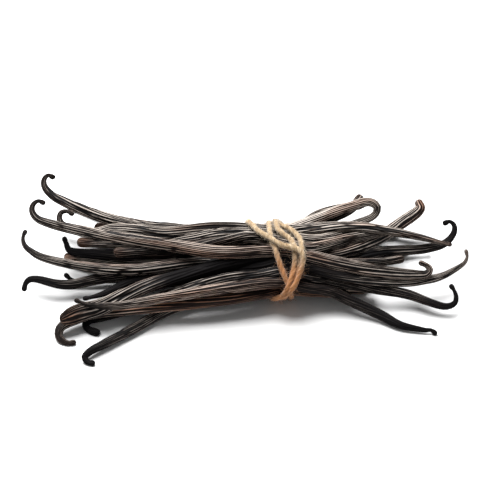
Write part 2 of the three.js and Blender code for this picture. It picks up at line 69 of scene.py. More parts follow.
ARC_STEP = 0.25  # spacing of the points along an arc
ARC_RISE = 0.97  # share of its slope out of the face that it keeps from point to point
HOOKED = ("curl", "hook", "crook", "stub", "paddle")  # the ends that grow blacker by their tip value

# Directions of the sloping face: across it, up it and out of it.
ACROSS = np.array([1.0, 0, 0])
UP = np.array([0, math.sin(SLOPE), math.cos(SLOPE)])
OUT = np.array([0, -math.cos(SLOPE), math.sin(SLOPE)])
FACE = np.stack([ACROSS, UP, OUT])

# ---- fineness of the meshes ----
AROUND = 96  # vertices round a pod
AROUND_INSIDE = 64  # and round one that hardly shows
RING = 1.7  # spacing of a pod's rings in its middle
RING_AT_END = 0.5  # and at its ends
FINE_END = 14  # distance from an end over which they grow apart
CAP_RINGS = 5  # rings that round off an end
CAP_TURN = 84  # degrees of a quarter turn that the last of them reaches
CAP_LENGTH = 0.95  # length of a rounded end over its radius
CORE_AROUND = 24
CORE_SPAN = (-34, 50)  # where the core starts and ends along X
CORE_SECTIONS = 43
CORE_TAPER = 60  # distance from its middle where it would come to a point
POD_SEED = 100  # seed of the first pod; each next one's is one more
WAVES = 28  # cosines that make up a random wave
GRAIN_APART = 400  # how far apart the pods lie in the noise of their grain

# ---- the twine, in millimetres ----
TWINE_R = 1.4  # radius of the twine
SINK = 0.4  # how far it sinks into the pods
TWINE_STEP = 3.8  # spacing of the points its line is eased through
TWINE_RING = 0.55  # spacing of its rings
PLIES = 3
PLY_R = 1.0  # radius of a ply
PLY_OFF = 0.4  # distance of a ply's middle from the twine's
PLY_AROUND = 14
LAY = 13  # length of a full turn of the plies
FUZZ_RINGS = 5  # rings along a loose fibre
FIBRE_SIDES = 3
FUZZ = 4200  # loose fibres on the wraps
KNOT_FUZZ = FUZZ // 6  # and on the knot
TWINE_SEED = 29
CROSSING = 1.7 * TWINE_R  # how much further out a strand over another runs
FRONT_TOP = 45  # outward angle of the front's top edge, in degrees from +Y towards +Z
FRONT_FOOT = 225  # and of its bottom edge
WRAP_ROWS = 10  # rows of the texture for each ply of the wraps
KNOT_ROWS = 2  # and for each ply of the knot
ALL_ROWS = PLIES * (WRAP_ROWS + KNOT_ROWS)


# ---- the pods ----
def half(end, points, arcs=(), tone_light_and_shade=0.1, brown=0.3, shade_near_tie=0, tip=1):
    """The run from the tie to one end. A point is [across, up the sloping face, height above the table]; arcs
    carry it on from the last point as [length, turn in degrees]. Ends: "curl" a thin neck with a small round
    tip, "hook" a longer thin neck, "crook" one that thickens sooner, "stub" a thick one, "stem" a full-width
    one with a round tip, "blunt" a rounded end, "slim" a narrower one, "paddle" a wide flat end, "loop" a
    pod folded back on itself. Its darkness tells how black the half is: partly its own tone, partly painted
    shade where it lies in shadow, and painted light where it is below zero. brown tells how brown its end is,
    the shade near the tie how much blacker it grows towards the tie, painted shade of the recess there, and
    tip how much blacker a hooked end grows."""
    return {"end": end, "points": points, "arcs": arcs,
            "tone_light_and_shade": tone_light_and_shade, "brown": brown, "shade_near_tie": shade_near_tie, "tip": tip}


def pod(width, slot, left, right, warm=0):
    """A pod: its width, the [y, z] of its place in the tie, its left half, its right half and how brown it is
    near the tie."""
    return {"width": width, "slot": slot, "left": left, "right": right, "warm": warm}


# In the tables below a half's darkness is partly the pod's own tone and partly painted shade where it lies in
# shadow; below zero it is painted light.
TOP_PODS = [
    pod(6.2, [16.4, 18.5],
        half("curl", [[-25, 9.6, 20.5], [-51, 10.9, 22], [-72, 15.7, 23], [-85, 20.5, 24], [-96, 25.5, 25]],
             [[8, -25], [6, -60], [5.5, -120]], tone_light_and_shade=0, shade_near_tie=2),
        # painted light: the folded half is lightened below zero darkness, as its upper limb catches the light
        half("loop", [[29, 13.9, 20], [45, 20.2, 21], [57, 24, 21]], [[6, -50], [5, -90], [5, -35], [16, -8]],
             tone_light_and_shade=-0.95)),
    pod(6, [-5, 24.3],
        half("curl", [[-15, -1.3, 24.5], [-37.5, 2, 24.5], [-56.5, 4.7, 24.5], [-76.5, 8, 25],
              [-97, 12.4, 25.5], [-104, 14.5, 26]], [[6.3, -45], [3.7, -48], [4.6, -63], [2.4, -62]],
             tone_light_and_shade=-0.1),
        half("crook", [[29, -3, 23.5], [42.5, -6.3, 22], [58, -9.5, 19], [75, -11.8, 15], [86, -12.5, 13]],
             [[4.1, 55], [3.6, 110], [3.4, -10]], tone_light_and_shade=0.2, tip=0.2), warm=0.4),
    pod(5.6, [12, 22.3],
        half("curl", [[-16.5, 10.8, 21.5], [-42.5, 8.3, 21.5], [-57.5, 10.3, 21], [-69, 10.5, 20],
              [-77.5, 8.7, 19.5], [-92, 11.8, 20]], [[4.6, -58], [2.5, -28], [3.4, -74], [4.2, -47]],
             tone_light_and_shade=-0.2, shade_near_tie=1.6),
        half("curl", [[30, 10.6, 22], [50, 11.6, 22], [70.5, 9.4, 21], [98, 3.2, 18]], [[2, 0]], tone_light_and_shade=-0.2,
             tip=0.6)),
    pod(5.8, [1, 24.2],
        half("crook", [[1, 6.5, 23.5], [-11.5, 4.8, 22], [-35, 0.5, 18.5], [-60, -2.5, 16], [-83, -1.7, 14],
              [-89, -0.8, 13]], [[3, -60], [5, 0]], tone_light_and_shade=0.8),
        half("blunt", [[29, 0.5, 23.5], [50, 5.7, 19.5], [67, 9.2, 16]])),
    pod(5.8, [6.5, 23.8],
        half("blunt", [[-14, 8.1, 22], [-29.5, 5, 20], [-42.5, 3.2, 18.5], [-55, 4, 18], [-76.5, 3.7, 17],
              [-84.5, 3.8, 17]], brown=0.9),
        half("blunt", [[26.5, 5, 23], [35, 5, 22], [52.5, 9.5, 17], [61, 11, 15]])),
    pod(5.8, [-10.5, 21.3],
        half("curl", [[6, -8.5, 18.5], [-29.5, -11, 13], [-57.5, -14.7, 10.5], [-65, -18, 9],
              [-73, -21.8, 7.5], [-80, -23.8, 7]], [[2.5, -10]], tone_light_and_shade=1, shade_near_tie=0.8),
        half("curl", [[29, -8, 20.5], [42.5, -12, 18], [58, -14.8, 14], [80, -15.7, 11], [91, -14.3, 11]],
             [[8.5, 20], [7.8, 5], [4.3, 38], [3.7, 45]], tone_light_and_shade=0, shade_near_tie=1.2, tip=0.3)),
]
FRONT_PODS = [
    pod(5.6, [-7, 15.5],
        half("curl", [[-25, -7.3, 16], [-62.5, -10.1, 15.5], [-87, -7.5, 14.5], [-105, -3.2, 14],
              [-110.8, 0.3, 14]], [[6.2, -52], [4.2, -38]], tone_light_and_shade=0, shade_near_tie=1.2, tip=1.2),
        half("slim", [[32.5, -6.9, 16], [50, -6.4, 15], [65, -6, 13], [74, -4.8, 13]], [[1.5, 10]], tone_light_and_shade=0.3,
             shade_near_tie=0.4)),
    pod(5.6, [3.5, 18],
        half("blunt", [[-27.5, -3.5, 16.5], [-60, -5.3, 14], [-82.5, -3.5, 12.5], [-91, -3.5, 12]], tone_light_and_shade=-0.3,
             brown=0.8),
        half("hook", [[30, -1, 17], [37.5, -3, 15], [50, -3.5, 13.5], [65.5, -0.8, 13], [86, 0.3, 14],
              [93.5, 1.7, 14.5]], [[7.7, 36], [5.1, 28], [3.8, 60], [2.7, 40], [2, 70]], tone_light_and_shade=0.5)),
    pod(5.2, [-12.5, 10.3],
        half("curl", [[-65, -14.5, 5], [-86, -15.7, 3.3]], [[4, -40], [3, -10]], tone_light_and_shade=0.9),
        half("blunt", [[32.5, -12.5, 9], [59, -15.5, 5]], tone_light_and_shade=0.5)),
    pod(5.4, [-13, 15.2],
        half("crook", [[-2.5, -10, 14.5], [-50, -11.5, 12], [-74.5, -14.3, 9.5], [-89.5, -17.3, 8],
              [-97, -16.9, 8.5], [-103, -15.3, 9]], [[5.3, 12], [4.4, 62], [3.3, 30]], tone_light_and_shade=0.5, shade_near_tie=0.8),
        half("blunt", [[32.5, -12.5, 14], [61, -18.5, 8]], tone_light_and_shade=0.5)),
    pod(6.2, [-2, 18.5],
        half("paddle", [[-10, -7, 16], [-30, -12, 14], [-50, -17.5, 13.5], [-60, -21.5, 12],
              [-74.5, -28.5, 8.5], [-84, -31, 6.5], [-92, -34.3, 6]], tone_light_and_shade=-0.3, brown=0.8, shade_near_tie=8),
        half("stem", [[29, -2.8, 18.5], [45.5, -1, 17.5], [65.5, 6.8, 14.5], [75.5, 13.5, 14],
              [82.5, 18.2, 14.5]], [[4.8, 25], [2.7, 100]], tone_light_and_shade=-0.1, brown=0.5, shade_near_tie=0.5)),
]
LOW_PODS = [
    pod(5.8, [-20, 15.8],
        half("hook", [[-9, -18.6, 17], [-42.5, -23.8, 14], [-66.5, -27.9, 12], [-80, -27.5, 10.5],
              [-86.5, -25.3, 10]], tone_light_and_shade=0.05),
        half("curl", [[29, -19, 12.5], [40, -20.7, 10], [51, -25.8, 6.5], [65, -32.2, 3.6], [75, -37.4, 2.2],
              [85, -39.6, 1.5]], [[4.5, 10], [1.6, 10], [2.2, -110]], tone_light_and_shade=0.9), warm=0.5),
    pod(6, [-20, 10.8],
        half("crook", [[6, -21.5, 11.5], [-24.5, -25.8, 10.5], [-57.5, -29.3, 7], [-79, -32, 4],
              [-89, -35.8, 3.5]], [[4.3, 10], [4.9, 48], [4.8, 46], [5.1, 46], [2.3, 55]], tone_light_and_shade=0.15,
             tip=0.6),
        half("blunt", [[29, -20.5, 9.5], [42, -21.5, 6], [48, -22.5, 5]], tone_light_and_shade=0.5), warm=1.4),
    pod(5.8, [-16.2, 19.3],
        half("stub", [[6, -12.8, 18.5], [-14, -15, 17.5], [-37, -21.5, 12], [-50, -26, 8], [-62.5, -29.5, 6],
              [-79, -34.5, 3.5]], [[4.4, 60], [3.9, 60], [5, 20]], tone_light_and_shade=0.5),
        half("hook", [[29, -14, 15.5], [58, -18.3, 10.5], [80, -22.5, 7], [86, -24.7, 6.5]], [[9.8, 5],
              [5.4, 35], [4.3, 68], [3.3, 25], [3.7, 18]], tone_light_and_shade=0.6)),
    pod(5.6, [-16, 6.8],
        half("crook", [[-12.5, -22, 6], [-39.5, -29.5, 3.4], [-57.5, -39, 2.2], [-76.5, -49, 1.6]],
             [[6.5, 15], [4.2, 100], [3.4, 30]], tone_light_and_shade=0.5),
        half("blunt", [[32.5, -19, 7], [57.5, -16, 4]], tone_light_and_shade=0.6)),
]
BACK_PODS = [
    pod(5.6, [17.8, 9.6],
        half("curl", [[-45, 11, 6], [-70, 15.8, 2.6], [-86, 20.5, 1.6]], [[4, 0]]),
        half("curl", [[35, 10.5, 7], [57.5, 10.5, 3], [87.5, 5.8, 1.5]], [[3, 0]])),
    pod(5.8, [19.4, 14.4],
        half("curl", [[-45, 9, 12], [-75, 7.5, 8], [-94, 11.5, 8]], [[4, 0]]),
        half("blunt", [[29, 12, 14], [44, 17.5, 12.5], [51.5, 21.5, 12], [55, 25.8, 12]], tone_light_and_shade=0.5)),
]
INNER_PODS = [
    pod(5.6, [8.5, 18.3],
        half("blunt", [[-25, 3, 18], [-45, 0.5, 19.5], [-66, -1.3, 19]], tone_light_and_shade=0, brown=0.5, shade_near_tie=6),
        half("blunt", [[29, 6, 17], [47.5, 9, 13], [67.5, 9.8, 9]])),
    pod(5.6, [13.5, 17.3],
        half("blunt", [[-50, 11.5, 15], [-66, 11, 14], [-76, 11, 14]], tone_light_and_shade=0.4, brown=0.8),
        half("blunt", [[35, 17.5, 14], [56, 23, 12]])),
    pod(5.6, [-3, 11.6],
        half("blunt", [[-45, -4, 8.5], [-71.5, -4, 6], [-87, -3, 5]], tone_light_and_shade=0.6),
        half("curl", [[35, -4, 9], [47.5, -7.5, 6], [82.5, -12.5, 4]])),
    pod(5.6, [3.5, 12.2],
        half("curl", [[-42.5, 3, 8], [-70, 6.8, 6], [-90, 10.5, 5]], [[3, 0]]),
        half("curl", [[35, -2, 8], [58, -1.5, 5], [87.5, 0.5, 4]], [[2, 0]])),
    pod(5.6, [9.8, 12],
        half("blunt", [[-40, 7.5, 8], [-60, 8, 6], [-75, 8, 4]], tone_light_and_shade=0.4, brown=0.6),
        half("blunt", [[35, 5, 8], [47.5, 7, 6], [63, 6.5, 4]])),
]
UNDER_PODS = [
    pod(5.4, [-11, 5.9],
        half("blunt", [[-20, -20, 3.6], [-50, -26.5, 2.3], [-72.5, -29.5, 2]]),
        half("blunt", [[35, -19, 4.3], [56, -19.5, 2.3]])),
    pod(5.4, [-6, 6.4],
        half("blunt", [[-50, -17, 2.3], [-70, -25, 2]]),
        half("blunt", [[35, -16.5, 4.3], [71, -19.5, 2]])),
    pod(5.4, [-1, 6.4],
        half("blunt", [[-50, -13, 2.3], [-69, -20.5, 2]]),
        half("blunt", [[35, -11, 4.3], [72.5, -15.5, 2]])),
    pod(5.4, [4, 6.6],
        half("curl", [[-45, -9, 2.8], [-70, -10, 2.2], [-95, -6, 1.4]], [[2, 0]]),
        half("curl", [[35, -7, 4.3], [85, -12.3, 1.5]], [[1, 0]])),
    pod(5.4, [9, 6.7],
        half("blunt", [[-35, 1.5, 3.2], [-60, 5, 2.3], [-85, 9.5, 2]]),
        half("blunt", [[35, -3, 4.3], [77.5, -0.3, 2]])),
    pod(5.4, [14, 7.4],
        half("blunt", [[-42.5, 9, 2.6], [-67.5, 10.5, 2]]),
        half("blunt", [[35, 11, 4], [72.5, 9, 2]])),
]
GROUPS = {
    "pods_top": TOP_PODS, "pods_front": FRONT_PODS, "pods_low": LOW_PODS,
    "pods_back": BACK_PODS, "pods_inner": INNER_PODS, "pods_under": UNDER_PODS,
}


# ---- lines ----
def unit(v):
    """Vectors along the last axis scaled to length one."""
    return v / np.linalg.norm(v, axis=-1, keepdims=True)


def square_to(v, along):
    """The parts of vectors that are square to unit directions, scaled to length one."""
    return unit(v - np.sum(v * along, axis=1, keepdims=True) * along)


def between(t, t1, t2, a, b):
    """The place at t on the way from a at t1 to b at t2."""
    return (t2 - t) / (t2 - t1) * a + (t - t1) / (t2 - t1) * b


def catmull(points, per, closed=False):
    """A centripetal Catmull-Rom line through the points, with so many steps to each stretch."""
    p = np.asarray(points, float)
    if closed:
        p = np.vstack([p[-1], p, p[0], p[1]])
    else:
        p = np.vstack([2 * p[0] - p[1], p, 2 * p[-1] - p[-2]])
    out = []
    for i in range(1, len(p) - 2):
        a, b, c, d = p[i - 1:i + 3]
        t1 = np.linalg.norm(b - a) ** 0.5
        t2 = t1 + np.linalg.norm(c - b) ** 0.5
        t3 = t2 + np.linalg.norm(d - c) ** 0.5
        t = np.linspace(t1, t2, per, endpoint=False)[:, None]
        ab, bc, cd = between(t, 0, t1, a, b), between(t, t1, t2, b, c), between(t, t2, t3, c, d)
        out.append(between(t, t1, t2, between(t, 0, t2, ab, bc), between(t, t1, t3, bc, cd)))
    if not closed:
        out.append(p[-2:-1])
    return np.vstack(out)


def distances(line):
    """Distance along a line to each of its points."""
    return np.concatenate([[0], np.cumsum(np.linalg.norm(np.diff(line, axis=0), axis=1))])


def read_line(line, at):
    """Points of a line at the given distances along it."""
    along = distances(line)
    return np.stack([np.interp(at, along, line[:, k]) for k in range(3)], axis=1)


def resample(line, spacing):
    """A line's points at even spacing."""
    length = distances(line)[-1]
    return read_line(line, np.linspace(0, length, int(length / spacing + 0.5) + 1))


def tangents(line, closed=False):
    """Unit directions along a line."""
    if closed:
        return unit(np.roll(line, -1, axis=0) - np.roll(line, 1, axis=0))
    return unit(np.gradient(line, axis=0))


# ---- laying the pods ----
def place(point):
    """The place of a point given across and up the sloping face and by its height."""
    across, up, height = point
    return np.array([across + FACE_ZERO[0], up / math.sin(SLOPE) + FACE_ZERO[1] - height, height])


def hook(start, heading, arcs):
    """The points of the arcs that follow a start and a heading; the run flattens into the face as it goes."""
    points = []
    angle = math.atan2(heading @ UP, heading @ ACROSS)
    rise = heading @ OUT
    at = start
    for length, turn in arcs:
        n = max(1, int(length / ARC_STEP + 0.5))
        for _ in range(n):
            angle += math.radians(turn) / n
            rise *= ARC_RISE
            flat = math.sqrt(1 - rise * rise)
            step = flat * math.cos(angle) * ACROSS + flat * math.sin(angle) * UP + rise * OUT
            at = at + step * (length / n)
            points.append(at)
    return np.array(points).reshape(-1, 3)


# How each kind of end thickens, for the settling and then for the skin: radius at the tip, where it starts to
# thicken, reach of that, then how much the tip swells, where and over what length. For the paddle: radius of
# its flat part, length of that, reach of its narrowing, how much its tip is rounded off.
SETTLED, SKIN = 0, 1
ENDS = {
    "curl": [(1.25, 5, 19), (0.92, 3, 20, 0.3, 0.6, 1.0)],
    "hook": [(1.2, 5, 22), (0.85, 3, 24, 0.35, 0.6, 1.1)],
    "crook": [(1.35, 2, 13), (1.1, 1.5, 14, 0.25, 0.6, 1.1)],
    "stub": [(1.9, 6, 14), (1.65, 5, 14, 0.25, 1.2, 1.6)],
    "slim": [(1.8, 1, 40), (1.8, 1, 40, 0.15, 1.2, 1.5)],
    "stem": [(1.8, 1, 4), (1.75, 1, 4, 0.25, 0.8, 1.3)],
    "loop": [(1.65, 20, 30, 0.5, 0, 10), (1.65, 20, 30, 0.5, 0, 10)],
    "blunt": [(2, 1, 20), (2.1, 1, 20, 0.2, 1.2, 1.5)],
    "paddle": [(3.9, 10, 25, 0), (4.3, 9, 25, 1.2)],
}


def paddle_radius(distance, full, wide, wait, reach, rounding):
    """Radius at a distance from a flattened end."""
    narrowing = np.exp(-np.maximum(distance - wait, 0) / reach)
    return full + (wide - full) * narrowing - rounding * np.exp(-distance / 2.5)


def end_radius(distance, full, small, wait, reach, swell=0, where=0, spread=1):
    """Radius at a distance from any other end."""
    grown = 1 - np.exp(-np.maximum(distance - wait, 0) / reach)
    return small + (full - small) * grown + swell * np.exp(-(((distance - where) / spread) ** 2))


def radius_from(end, use, distance, full):
    """Radius at a distance from an end of a pod, for the settling or for the skin."""
    thicken = paddle_radius if end == "paddle" else end_radius
    return thicken(distance, full, *ENDS[end][use])


def lay(one):
    """Centre line and radii of a pod before it is settled."""
    slot = TIE_MIDDLE + (np.array(one["slot"]) - TIE_MIDDLE) * GATHER
    through = np.array([TIE_X, TIE_Y + slot[0], slot[1]])
    left = [place(p) for p in one["left"]["points"]]
    right = [place(p) for p in one["right"]["points"]]
    body = catmull(left[::-1] + [through] + right, 24)
    start = hook(body[0], unit(body[0] - body[6]), one["left"]["arcs"])
    finish = hook(body[-1], unit(body[-1] - body[-7]), one["right"]["arcs"])
    line = np.vstack([start[::-1], body, finish])
    length = distances(line)[-1]
    points = resample(line, STEP)
    along = np.linspace(0, length, len(points))
    from_left = radius_from(one["left"]["end"], SETTLED, along, one["width"] / 2)
    from_right = radius_from(one["right"]["end"], SETTLED, length - along, one["width"] / 2)
    return points, np.where(along < length / 2, from_left, from_right)


def settle(lines):
    """Presses the pods apart where they meet, mostly out of the sloping face, and keeps them above the
    table. In tight places it stops short, and the pods still pass into each other."""
    rest = np.vstack([points for points, _ in lines])
    r = np.concatenate([radii for _, radii in lines])
    counts = [len(points) for points, _ in lines]
    owner = np.repeat(np.arange(len(lines)), counts)
    ends = np.cumsum([0] + counts)
    apart = np.linalg.norm(rest[:, None] - rest[None], axis=2)
    a, b = np.nonzero(np.triu((apart < REACH) & (owner[:, None] != owner[None]), 1))
    moved = np.zeros_like(rest)
    for _ in range(ROUNDS):
        at = rest + moved
        d = at[a] - at[b]
        distance = np.maximum(np.linalg.norm(d, axis=1), 1e-6)
        over = (r[a] + r[b]) * SQUEEZE - distance
        hit = over > 0
        half_push = d[hit] * (0.5 * over[hit] / distance[hit])[:, None]
        push = np.zeros_like(rest)
        np.add.at(push, a[hit], half_push)
        np.add.at(push, b[hit], -half_push)
        met = np.bincount(a[hit], minlength=len(rest)) + np.bincount(b[hit], minlength=len(rest))
        push /= np.sqrt(np.maximum(met, 1))[:, None]
        # back towards the line it was laid on, firmly within the face and softly out of it
        moved = ((moved + push @ FACE.T * PUSH_SHARES @ FACE) @ FACE.T * KEEP_SHARES) @ FACE
        for first, last in zip(ends[:-1], ends[1:]):
            for _ in range(SMOOTHINGS):
                smooth(moved[first:last])
        at = rest + moved
        lift = CLEARANCE * np.exp(-(((at[:, 0] - TIE_X) / CLEAR_SPAN) ** 2))
        moved[:, 2] += np.maximum(SAG * r + lift - at[:, 2], 0)
    at = rest + moved
    return [at[first:last] for first, last in zip(ends[:-1], ends[1:])]


def smooth(run):
    """One pass of smoothing over the shifts along a pod, which keeps it from kinking."""
    run[1:-1] = 0.25 * run[:-2] + 0.5 * run[1:-1] + 0.25 * run[2:]
    run[0] = 0.5 * run[0] + 0.5 * run[1]
    run[-1] = 0.5 * run[-1] + 0.5 * run[-2]


laid = [lay(one) for group in GROUPS.values() for one in group]
settled = settle(laid)
settled_radii = [radii for _, radii in laid]


# ---- meshes ----
def ring_faces(rings, around, closed=False):
    """Quads between rings of vertices, and their corners as (ring, step round) for their texture places."""
    i, k = np.indices((rings if closed else rings - 1, around)).reshape(2, -1)
    corners = [(i, k), (i, k + 1), (i + 1, k + 1), (i + 1, k)]
    quads = np.stack([(a % rings) * around + b % around for a, b in corners], axis=1)
    places = np.stack([np.stack([a, b], axis=1) for a, b in corners], axis=1)
    return quads, places


def place_rings(centre, x, y, turn, side, over):
    """Vertices of rings from their places about each centre, turned by an angle."""
    x, y = x * np.cos(turn) - y * np.sin(turn), x * np.sin(turn) + y * np.cos(turn)
    return centre[:, None] + x[..., None] * side[:, None] + y[..., None] * over[:, None]


def with_distance(places, at):
    """Places round each ring joined by the ring's distance along."""
    return np.concatenate([places, np.broadcast_to(at[:, None, None], (*places.shape[:2], 1))], axis=2)


def end_fans(rings, around, u, low, high):
    """Triangles that close both ends of a tube onto two last vertices, with their texture places."""
    k = np.arange(around)
    step = (high - low) / around
    fans = []
    for end, ring, way in ((0, 0, -1), (1, rings - 1, 1)):
        tip = np.full(around, rings * around + end)
        a, b = ring * around + k, ring * around + (k + 1) % around
        corners = np.stack([tip, a, b] if way > 0 else [tip, b, a], axis=1)
        ends = [low + step * k, low + step * (k + 1)][::way]
        beyond = np.full(around, u[ring] + 0.004 * way)
        spots = [np.stack([beyond, low + step * (k + 0.5)], axis=1)]
        spots += [np.stack([np.full(around, u[ring]), e], axis=1) for e in ends]
        fans.append((corners, np.stack(spots, axis=1)))
    return fans


def new_object(name, data):
    """A new object in the scene."""
    made = bpy.data.objects.new(name, data)
    bpy.context.scene.collection.objects.link(made)
    return made


def make_piece(name, parts, material, node):
    """A piece on the only body, in place of a solid. Each part is a dict of verts in millimetres, faces with
    a texture place for each corner, and named values for each vertex."""
    verts = np.vstack([p["verts"] for p in parts]) * MM
    faces = []
    places = []
    offset = 0
    for p in parts:
        for corners, uv in p["faces"]:
            faces.extend((corners + offset).tolist())
            places.append(uv.reshape(-1, 2))
        offset += len(p["verts"])
    mesh = bpy.data.meshes.new(name)
    mesh.from_pydata(verts.tolist(), [], faces)
    layer = mesh.uv_layers.new(name="OFBake")
    layer.data.foreach_set("uv", np.vstack(places).astype(np.float32).ravel())
    for key in parts[0]["values"]:
        values = np.concatenate([p["values"][key] for p in parts]).astype(np.float32)
        kind, field = ("FLOAT_VECTOR", "vector") if values.ndim == 2 else ("FLOAT", "value")
        mesh.attributes.new(key, kind, "POINT").data.foreach_set(field, values.ravel())
    mesh.shade_smooth()
    mesh.materials.append(material)
    piece = new_object(name, mesh)
    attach(piece, "root")
    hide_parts(node)


def ripples(rng, turns, stretch, angle, along):
    """Random waves over the angle round a pod and the distance along it, closing round it, about one high."""
    k = rng.integers(turns[0], turns[1] + 1, WAVES)
    w = rng.normal(0, 1 / stretch, WAVES)
    phase = rng.uniform(0, TAU, WAVES)
    out = np.zeros((len(along), len(angle)))
    for turn, rate, start in zip(k, w, phase):
        out += np.cos(turn * angle[None] + rate * along[:, None] + start)
    return out * math.sqrt(2 / WAVES)


def sway(rng, stretch, along):
    """Random waves over the distance along a line alone, about one high."""
    return ripples(rng, (0, 0), stretch, np.zeros(1), along)[:, 0]


def boxy(share):
    """A cosine or sine changed so that the oval it draws is a little squarer, as a pressed pod is."""
    return np.sign(share) * np.abs(share) ** BOXY


def ring_places(length, cap_left, cap_right):
    """Distances along a pod of its rings: close together at the ends, where negative and past the length they
    round it off, and the share of the full radius that each ring has."""
    fine = np.linspace(0, length, 4000)
    near = np.minimum(fine, length - fine) / FINE_END
    spacing = RING_AT_END + (RING - RING_AT_END) * np.clip(near, 0, 1)
    count = np.concatenate([[0], np.cumsum(np.diff(fine) / spacing[1:])])
    body = np.interp(np.linspace(0, count[-1], int(count[-1]) + 1), count, fine)
    turn = np.radians(np.linspace(CAP_TURN, CAP_TURN / CAP_RINGS, CAP_RINGS))
    at = np.concatenate([-cap_left * np.sin(turn), body, length + cap_right * np.sin(turn[::-1])])
    share = np.concatenate([np.cos(turn), np.ones(len(body)), np.cos(turn[::-1])])
    return at, share


def relief(rng, number, angle, at, size):
    """How high the skin stands over its oval, and how far each vertex is up the fine ridges, from 0 to 1;
    that second value paints sheen on the ridges and shade in the folds and wrinkles.
    """
    broad = ripples(rng, (2, 3), 16, angle, at)
    # Folds are narrow grooves, and wrinkles sharp ones between rounded ridges, where waves pass through zero.
    fold = np.exp(-((ripples(rng, (2, 4), 12, angle, at) / 0.17) ** 2))
    wrinkle = np.exp(-np.abs(ripples(rng, (4, 5), 11, angle, at)) / 0.3)
    # The fine ridges are of nearly even width and wander as they run along the pod.
    drift = ripples(rng, (1, 3), 24, angle, at)
    fine = ((1 + np.cos((14 + number % 4) * angle[None] + 2.2 * drift)) / 2) ** 1.3
    height = size * (0.13 * broad - 0.42 * fold - 0.22 * wrinkle - 0.3 * (1 - fine))
    # The second value is low in folds and wrinkles, painted shade in the creases, and high along the fine
    # ridges, painted sheen.
    sheen_and_crease_shade = (1 - 0.65 * fold) * (1 - 0.35 * wrinkle) * (0.05 + 0.95 * fine ** 1.4)
    return height, sheen_and_crease_shade


def shades(rng, one, angle, at, length, centre, along, right):
    """How brown each vertex of a pod is, and how black each of its rings, from its own tone, painted shade
    and painted light. right is the right half's share.
    """
    halves = (one["left"], one["right"])
    inside = np.clip(at, 0, length)
    nearer = np.where(inside < length / 2, 0, 1)
    from_end = np.minimum(inside, length - inside)
    to_tie = centre[:, 0] - TIE_X
    hooked = np.array([h["end"] in HOOKED for h in halves])[nearer]
    folded = np.array([h["end"] == "loop" for h in halves])[nearer]
    brown = np.array([h["brown"] for h in halves])[nearer]
    brown = brown * np.exp(-((from_end / np.where(hooked, 9, 5)) ** 2))
    brown = brown + one["warm"] * np.exp(-((to_tie / np.where(to_tie > 0, 30, 75)) ** 2))
    brown = brown[:, None] + 0.4 * np.clip(ripples(rng, (1, 2), 14, angle, at) - 0.5, 0, 1)
    # the darkness: the halves' own tone and painted shade, painted light where below zero, with blacker
    # hooked tips
    tone_light_and_shade, shade_near_tie, tip = (halves[0][key] * (1 - right) + halves[1][key] * right
                       for key in ("tone_light_and_shade", "shade_near_tie", "tip"))
    tone_light_and_shade = tone_light_and_shade + 0.9 * tip * hooked * np.exp(-((from_end / 25) ** 2))
    # painted shade: blacker towards the tie, where pods lie in the shadowed recess of the bundle
    tone_light_and_shade = tone_light_and_shade + shade_near_tie * np.exp(-((to_tie / 45) ** 2))
    tone_light_and_shade = tone_light_and_shade + 1.7 * folded * (1 - np.abs(along[:, 0]))  # painted shade on the bend where a pod is folded back
    return brown, tone_light_and_shade


